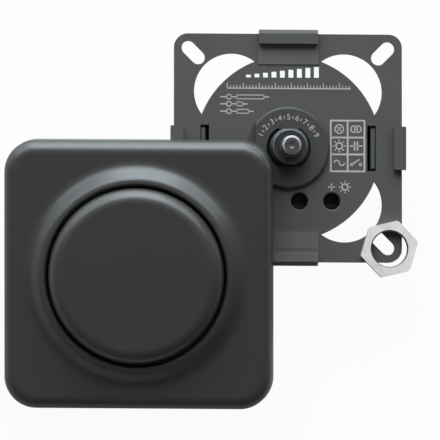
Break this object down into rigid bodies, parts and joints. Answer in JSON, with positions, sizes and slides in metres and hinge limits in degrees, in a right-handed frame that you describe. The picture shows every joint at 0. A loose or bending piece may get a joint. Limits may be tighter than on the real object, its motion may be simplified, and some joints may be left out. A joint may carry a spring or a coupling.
{
  "type": "rotary furniture dimmer",
  "caption": "Rotary dimmer for furniture, taken apart: square insert with spindle, clip bars and round housing, leaning square cover with a round knob in a raised ring, and a thin hexagon nut.",
  "frame": {"origin": "on the spindle's axis at the front face of the insert's boss", "axes": "+Z along the spindle out of the front, +X to the right and +Y up as seen from the front"},
  "size_m": [0.1287, 0.1182, 0.0334],
  "materials": {
    "plate_plastic": "fine matt moulding",
    "cover_plastic": "satin painted moulding",
    "black_plastic": "moulded",
    "bright_steel": "bright plated",
    "spring_steel": "plain",
    "brass": "plain",
    "board": "solder mask",
    "component": "moulded",
    "terminal_plastic": "moulded",
    "aluminium": "rolled sheet",
    "film_box": "moulded box",
    "ferrite": "pressed",
    "copper": "enamelled wire",
    "trimmer": "moulded",
    "trimmer_screw": "moulded"
  },
  "bodies": {
    "insert": {"front_plate": "plate_plastic", "housing": "black_plastic", "housing_screws": "bright_steel", "threaded_bush": "black_plastic", "potentiometer_case": "component", "resistor_wafer": "component", "switch_case": "component", "plunger_spring": "spring_steel", "circuit_board": "board", "terminal_block": "terminal_plastic", "terminal_clamps": "brass", "terminal_screws": "bright_steel", "minimum_trimmer_base": "trimmer", "maximum_trimmer_base": "trimmer", "transistors": "component", "heat_spreader": "aluminium", "film_capacitor": "film_box", "electrolytic_capacitor": "component", "choke_core": "ferrite", "choke_winding": "copper", "controller_chip": "component", "fuse": "component", "cover": "cover_plastic", "fixing_nut": "bright_steel"},
    "rotor": {"wiper_rotor": "terminal_plastic"},
    "spindle": {"spindle": "bright_steel", "retaining_ring": "spring_steel"},
    "plunger": {"switch_plunger": "terminal_plastic"},
    "minimum_trimmer": {"minimum_trimmer_screw": "trimmer_screw"},
    "maximum_trimmer": {"maximum_trimmer_screw": "trimmer_screw"},
    "knob": {"knob": "cover_plastic", "knob_clip": "spring_steel"}
  },
  "joints": [
    {"name": "spindle_turn", "type": "hinge", "parent": "insert", "child": "rotor", "pos_m": [0, 0, 0], "axis": [0, 0, 1], "range_deg": [-140, 140]},
    {"name": "spindle_push", "type": "slide", "parent": "rotor", "child": "spindle", "axis": [0, 0, 1], "range_m": [-0.0012, 0], "stiffness_N_per_m": 1200, "springref_m": 0.0012},
    {"name": "plunger_push", "type": "slide", "parent": "insert", "child": "plunger", "axis": [0, 0, 1], "range_m": [-0.0012, 0], "deforming": ["plunger_spring"]},
    {"name": "minimum_trim", "type": "hinge", "parent": "insert", "child": "minimum_trimmer", "pos_m": [0.0136, -0.0166, -0.0062], "axis": [0, 0, 1], "range_deg": [-130, 130]},
    {"name": "maximum_trim", "type": "hinge", "parent": "insert", "child": "maximum_trimmer", "pos_m": [0.0035, -0.0166, -0.0062], "axis": [0, 0, 1], "range_deg": [-130, 130]},
    {"name": "knob_turn", "type": "hinge", "parent": "insert", "child": "knob", "pos_m": [-0.04682, -0.03976, -0.00117], "axis": [-0.1725, -0.1385, 0.9752], "range_deg": [-140, 140]}
  ],
  "couplings": [
    {"joint": "plunger_push", "follows": "spindle_push", "ratio": 1}
  ]
}
